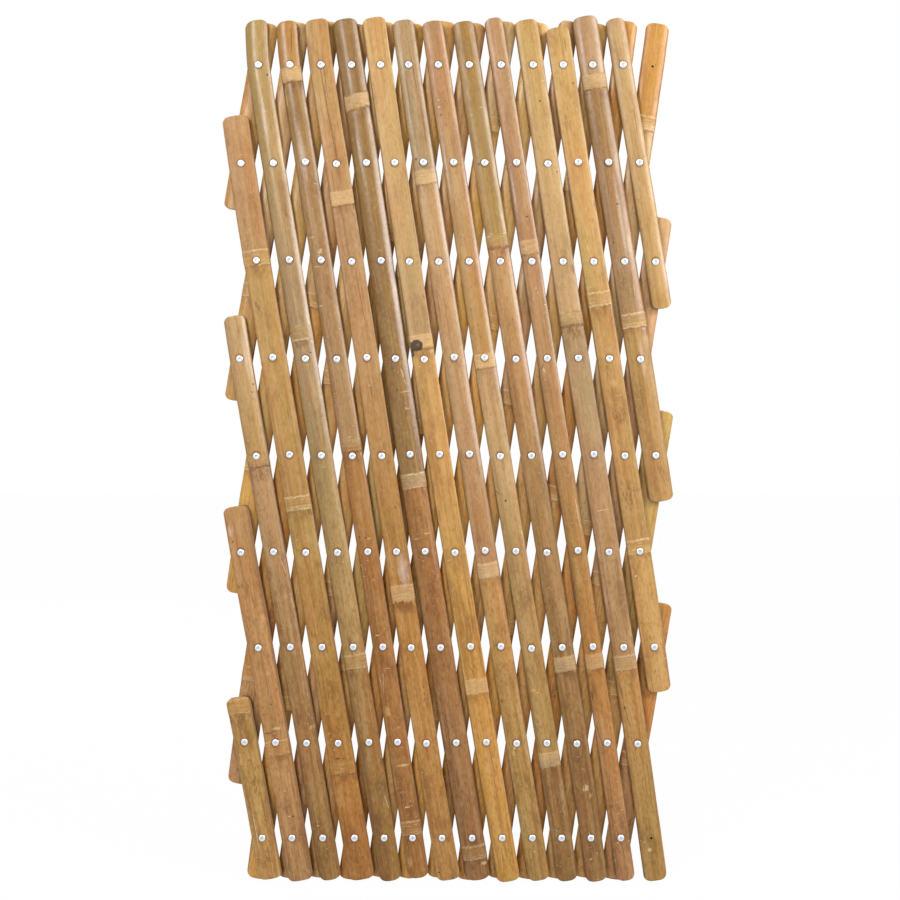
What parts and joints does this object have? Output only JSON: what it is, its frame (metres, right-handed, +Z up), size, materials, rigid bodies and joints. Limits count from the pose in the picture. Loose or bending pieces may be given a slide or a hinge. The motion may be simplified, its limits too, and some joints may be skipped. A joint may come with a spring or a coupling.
{
  "type": "expanding trellis",
  "caption": "Expanding garden trellis of split bamboo laths in two crossed layers, riveted where they cross, shown nearly closed.",
  "frame": {"origin": "on the wall plane behind the panel, under its middle, level with the lowest lath end", "axes": "+Z up along the panel's height, +X to the right seen from the front, +Y back towards the wall, so the bamboo's skin faces -Y"},
  "size_m": [0.4611, 0.0173, 0.8876],
  "materials": {
    "bamboo_straw": "satin bamboo skin",
    "bamboo_tan": "satin bamboo skin",
    "bamboo_pink": "satin bamboo skin",
    "bamboo_olive": "satin bamboo skin",
    "bamboo_russet": "satin bamboo skin",
    "rivet": "satin"
  },
  "bodies": {
    "foot_rivet_07": {"foot_rivet_07": "rivet"},
    "front_lath_01": {"front_lath_01": "bamboo_straw", "foot_rivet_01": "rivet"},
    "front_lath_02": {"front_lath_02": "bamboo_pink", "foot_rivet_02": "rivet"},
    "front_lath_03": {"front_lath_03": "bamboo_tan", "foot_rivet_03": "rivet"},
    "front_lath_04": {"front_lath_04": "bamboo_tan", "foot_rivet_04": "rivet"},
    "front_lath_05": {"front_lath_05": "bamboo_olive", "foot_rivet_05": "rivet", "top_rivet_01": "rivet"},
    "front_lath_06": {"front_lath_06": "bamboo_russet", "foot_rivet_06": "rivet", "top_rivet_02": "rivet"},
    "front_lath_07": {"front_lath_07": "bamboo_tan", "top_rivet_03": "rivet"},
    "front_lath_08": {"front_lath_08": "bamboo_russet", "foot_rivet_08": "rivet", "top_rivet_04": "rivet"},
    "front_lath_09": {"front_lath_09": "bamboo_straw", "foot_rivet_09": "rivet", "top_rivet_05": "rivet"},
    "front_lath_10": {"front_lath_10": "bamboo_olive", "foot_rivet_10": "rivet", "top_rivet_06": "rivet"},
    "front_lath_11": {"front_lath_11": "bamboo_russet", "foot_rivet_11": "rivet", "top_rivet_07": "rivet"},
    "front_lath_12": {"front_lath_12": "bamboo_olive", "foot_rivet_12": "rivet", "top_rivet_08": "rivet"},
    "front_lath_13": {"front_lath_13": "bamboo_russet", "foot_rivet_13": "rivet", "top_rivet_09": "rivet"},
    "front_lath_14": {"front_lath_14": "bamboo_straw", "top_rivet_10": "rivet"},
    "front_lath_15": {"front_lath_15": "bamboo_straw", "top_rivet_11": "rivet"},
    "front_lath_16": {"front_lath_16": "bamboo_russet", "top_rivet_12": "rivet"},
    "front_lath_17": {"front_lath_17": "bamboo_straw", "top_rivet_13": "rivet"},
    "back_lath_01": {"back_lath_01": "bamboo_tan"},
    "back_lath_02": {"back_lath_02": "bamboo_tan"},
    "back_lath_03": {"back_lath_03": "bamboo_olive"},
    "back_lath_04": {"back_lath_04": "bamboo_russet"},
    "back_lath_05": {"back_lath_05": "bamboo_tan"},
    "back_lath_06": {"back_lath_06": "bamboo_straw"},
    "back_lath_07": {"back_lath_07": "bamboo_olive"},
    "back_lath_08": {"back_lath_08": "bamboo_russet"},
    "back_lath_09": {"back_lath_09": "bamboo_tan"},
    "back_lath_10": {"back_lath_10": "bamboo_straw"},
    "back_lath_11": {"back_lath_11": "bamboo_russet"},
    "back_lath_12": {"back_lath_12": "bamboo_straw"},
    "back_lath_13": {"back_lath_13": "bamboo_russet"},
    "back_lath_14": {"back_lath_14": "bamboo_russet"},
    "back_lath_15": {"back_lath_15": "bamboo_tan"},
    "back_lath_16": {"back_lath_16": "bamboo_olive"},
    "back_lath_17": {"back_lath_17": "bamboo_russet"}
  },
  "joints": [
    {"name": "front_lath_07_pivot", "type": "hinge", "parent": "foot_rivet_07", "child": "front_lath_07", "pos_m": [-0.00782, -0.008, 0.04736], "axis": [0, -1, 0], "range_deg": [-0.8, 32.8]},
    {"name": "back_lath_11_pivot", "type": "hinge", "parent": "foot_rivet_07", "child": "back_lath_11", "pos_m": [-0.00782, -0.008, 0.04736], "axis": [0, -1, 0], "range_deg": [-32.8, 0.8]},
    {"name": "front_lath_08_pivot", "type": "hinge", "parent": "back_lath_11", "child": "front_lath_08", "pos_m": [0.00782, -0.008, 0.14613], "axis": [0, -1, 0], "range_deg": [-1.6, 65.6]},
    {"name": "front_lath_09_pivot", "type": "hinge", "parent": "back_lath_11", "child": "front_lath_09", "pos_m": [0.02346, -0.008, 0.24489], "axis": [0, -1, 0], "range_deg": [-1.6, 65.6]},
    {"name": "front_lath_10_pivot", "type": "hinge", "parent": "back_lath_11", "child": "front_lath_10", "pos_m": [0.03911, -0.008, 0.34366], "axis": [0, -1, 0], "range_deg": [-1.6, 65.6]},
    {"name": "front_lath_11_pivot", "type": "hinge", "parent": "back_lath_11", "child": "front_lath_11", "pos_m": [0.05475, -0.008, 0.44243], "axis": [0, -1, 0], "range_deg": [-1.6, 65.6]},
    {"name": "front_lath_12_pivot", "type": "hinge", "parent": "back_lath_11", "child": "front_lath_12", "pos_m": [0.0704, -0.008, 0.5412], "axis": [0, -1, 0], "range_deg": [-1.6, 65.6]},
    {"name": "front_lath_13_pivot", "type": "hinge", "parent": "back_lath_11", "child": "front_lath_13", "pos_m": [0.08604, -0.008, 0.63997], "axis": [0, -1, 0], "range_deg": [-1.6, 65.6]},
    {"name": "front_lath_14_pivot", "type": "hinge", "parent": "back_lath_11", "child": "front_lath_14", "pos_m": [0.10168, -0.008, 0.73874], "axis": [0, -1, 0], "range_deg": [-1.6, 65.6]},
    {"name": "front_lath_15_pivot", "type": "hinge", "parent": "back_lath_11", "child": "front_lath_15", "pos_m": [0.11733, -0.008, 0.83751], "axis": [0, -1, 0], "range_deg": [-1.6, 65.6]},
    {"name": "back_lath_03_pivot", "type": "hinge", "parent": "front_lath_07", "child": "back_lath_03", "pos_m": [-0.13297, -0.008, 0.83751], "axis": [0, -1, 0], "range_deg": [-65.6, 1.6]},
    {"name": "back_lath_04_pivot", "type": "hinge", "parent": "front_lath_07", "child": "back_lath_04", "pos_m": [-0.11733, -0.008, 0.73874], "axis": [0, -1, 0], "range_deg": [-65.6, 1.6]},
    {"name": "back_lath_05_pivot", "type": "hinge", "parent": "front_lath_07", "child": "back_lath_05", "pos_m": [-0.10168, -0.008, 0.63997], "axis": [0, -1, 0], "range_deg": [-65.6, 1.6]},
    {"name": "back_lath_06_pivot", "type": "hinge", "parent": "front_lath_07", "child": "back_lath_06", "pos_m": [-0.08604, -0.008, 0.5412], "axis": [0, -1, 0], "range_deg": [-65.6, 1.6]},
    {"name": "back_lath_07_pivot", "type": "hinge", "parent": "front_lath_07", "child": "back_lath_07", "pos_m": [-0.0704, -0.008, 0.44243], "axis": [0, -1, 0], "range_deg": [-65.6, 1.6]},
    {"name": "back_lath_08_pivot", "type": "hinge", "parent": "front_lath_07", "child": "back_lath_08", "pos_m": [-0.05475, -0.008, 0.34366], "axis": [0, -1, 0], "range_deg": [-65.6, 1.6]},
    {"name": "back_lath_09_pivot", "type": "hinge", "parent": "front_lath_07", "child": "back_lath_09", "pos_m": [-0.03911, -0.008, 0.24489], "axis": [0, -1, 0], "range_deg": [-65.6, 1.6]},
    {"name": "back_lath_10_pivot", "type": "hinge", "parent": "front_lath_07", "child": "back_lath_10", "pos_m": [-0.02346, -0.008, 0.14613], "axis": [0, -1, 0], "range_deg": [-65.6, 1.6]},
    {"name": "front_lath_06_pivot", "type": "hinge", "parent": "back_lath_06", "child": "front_lath_06", "pos_m": [-0.10168, -0.008, 0.44243], "axis": [0, -1, 0], "range_deg": [-1.6, 65.6]},
    {"name": "front_lath_05_pivot", "type": "hinge", "parent": "back_lath_05", "child": "front_lath_05", "pos_m": [-0.13297, -0.008, 0.44243], "axis": [0, -1, 0], "range_deg": [-1.6, 65.6]},
    {"name": "front_lath_04_pivot", "type": "hinge", "parent": "back_lath_04", "child": "front_lath_04", "pos_m": [-0.16426, -0.008, 0.44243], "axis": [0, -1, 0], "range_deg": [-1.6, 65.6]},
    {"name": "front_lath_03_pivot", "type": "hinge", "parent": "back_lath_04", "child": "front_lath_03", "pos_m": [-0.1799, -0.008, 0.34366], "axis": [0, -1, 0], "range_deg": [-1.6, 65.6]},
    {"name": "front_lath_02_pivot", "type": "hinge", "parent": "back_lath_04", "child": "front_lath_02", "pos_m": [-0.19554, -0.008, 0.24489], "axis": [0, -1, 0], "range_deg": [-1.6, 65.6]},
    {"name": "front_lath_01_pivot", "type": "hinge", "parent": "back_lath_04", "child": "front_lath_01", "pos_m": [-0.21119, -0.008, 0.14613], "axis": [0, -1, 0], "range_deg": [-1.6, 65.6]},
    {"name": "back_lath_12_pivot", "type": "hinge", "parent": "front_lath_12", "child": "back_lath_12", "pos_m": [0.08604, -0.008, 0.44243], "axis": [0, -1, 0], "range_deg": [-65.6, 1.6]},
    {"name": "back_lath_13_pivot", "type": "hinge", "parent": "front_lath_13", "child": "back_lath_13", "pos_m": [0.11733, -0.008, 0.44243], "axis": [0, -1, 0], "range_deg": [-65.6, 1.6]},
    {"name": "back_lath_14_pivot", "type": "hinge", "parent": "front_lath_14", "child": "back_lath_14", "pos_m": [0.14861, -0.008, 0.44243], "axis": [0, -1, 0], "range_deg": [-65.6, 1.6]},
    {"name": "back_lath_15_pivot", "type": "hinge", "parent": "front_lath_15", "child": "back_lath_15", "pos_m": [0.1799, -0.008, 0.44243], "axis": [0, -1, 0], "range_deg": [-65.6, 1.6]},
    {"name": "back_lath_16_pivot", "type": "hinge", "parent": "front_lath_15", "child": "back_lath_16", "pos_m": [0.19554, -0.008, 0.34366], "axis": [0, -1, 0], "range_deg": [-65.6, 1.6]},
    {"name": "back_lath_17_pivot", "type": "hinge", "parent": "front_lath_14", "child": "back_lath_17", "pos_m": [0.19554, -0.008, 0.14613], "axis": [0, -1, 0], "range_deg": [-65.6, 1.6]},
    {"name": "back_lath_02_pivot", "type": "hinge", "parent": "front_lath_05", "child": "back_lath_02", "pos_m": [-0.1799, -0.008, 0.73874], "axis": [0, -1, 0], "range_deg": [-65.6, 1.6]},
    {"name": "back_lath_01_pivot", "type": "hinge", "parent": "front_lath_05", "child": "back_lath_01", "pos_m": [-0.19554, -0.008, 0.83751], "axis": [0, -1, 0], "range_deg": [-65.6, 1.6]},
    {"name": "front_lath_16_pivot", "type": "hinge", "parent": "back_lath_14", "child": "front_lath_16", "pos_m": [0.1799, -0.008, 0.63997], "axis": [0, -1, 0], "range_deg": [-1.6, 65.6]},
    {"name": "front_lath_17_pivot", "type": "hinge", "parent": "back_lath_14", "child": "front_lath_17", "pos_m": [0.19554, -0.008, 0.73874], "axis": [0, -1, 0], "range_deg": [-1.6, 65.6]}
  ],
  "couplings": [
    {"joint": "back_lath_11_pivot", "follows": "front_lath_07_pivot", "ratio": -1},
    {"joint": "front_lath_08_pivot", "follows": "front_lath_07_pivot", "ratio": 2},
    {"joint": "front_lath_09_pivot", "follows": "front_lath_07_pivot", "ratio": 2},
    {"joint": "front_lath_10_pivot", "follows": "front_lath_07_pivot", "ratio": 2},
    {"joint": "front_lath_11_pivot", "follows": "front_lath_07_pivot", "ratio": 2},
    {"joint": "front_lath_12_pivot", "follows": "front_lath_07_pivot", "ratio": 2},
    {"joint": "front_lath_13_pivot", "follows": "front_lath_07_pivot", "ratio": 2},
    {"joint": "front_lath_14_pivot", "follows": "front_lath_07_pivot", "ratio": 2},
    {"joint": "front_lath_15_pivot", "follows": "front_lath_07_pivot", "ratio": 2},
    {"joint": "back_lath_03_pivot", "follows": "front_lath_07_pivot", "ratio": -2},
    {"joint": "back_lath_04_pivot", "follows": "front_lath_07_pivot", "ratio": -2},
    {"joint": "back_lath_05_pivot", "follows": "front_lath_07_pivot", "ratio": -2},
    {"joint": "back_lath_06_pivot", "follows": "front_lath_07_pivot", "ratio": -2},
    {"joint": "back_lath_07_pivot", "follows": "front_lath_07_pivot", "ratio": -2},
    {"joint": "back_lath_08_pivot", "follows": "front_lath_07_pivot", "ratio": -2},
    {"joint": "back_lath_09_pivot", "follows": "front_lath_07_pivot", "ratio": -2},
    {"joint": "back_lath_10_pivot", "follows": "front_lath_07_pivot", "ratio": -2},
    {"joint": "front_lath_06_pivot", "follows": "front_lath_07_pivot", "ratio": 2},
    {"joint": "front_lath_05_pivot", "follows": "front_lath_07_pivot", "ratio": 2},
    {"joint": "front_lath_04_pivot", "follows": "front_lath_07_pivot", "ratio": 2},
    {"joint": "front_lath_03_pivot", "follows": "front_lath_07_pivot", "ratio": 2},
    {"joint": "front_lath_02_pivot", "follows": "front_lath_07_pivot", "ratio": 2},
    {"joint": "front_lath_01_pivot", "follows": "front_lath_07_pivot", "ratio": 2},
    {"joint": "back_lath_12_pivot", "follows": "front_lath_07_pivot", "ratio": -2},
    {"joint": "back_lath_13_pivot", "follows": "front_lath_07_pivot", "ratio": -2},
    {"joint": "back_lath_14_pivot", "follows": "front_lath_07_pivot", "ratio": -2},
    {"joint": "back_lath_15_pivot", "follows": "front_lath_07_pivot", "ratio": -2},
    {"joint": "back_lath_16_pivot", "follows": "front_lath_07_pivot", "ratio": -2},
    {"joint": "back_lath_17_pivot", "follows": "front_lath_07_pivot", "ratio": -2},
    {"joint": "back_lath_02_pivot", "follows": "front_lath_07_pivot", "ratio": -2},
    {"joint": "back_lath_01_pivot", "follows": "front_lath_07_pivot", "ratio": -2},
    {"joint": "front_lath_16_pivot", "follows": "front_lath_07_pivot", "ratio": 2},
    {"joint": "front_lath_17_pivot", "follows": "front_lath_07_pivot", "ratio": 2}
  ]
}
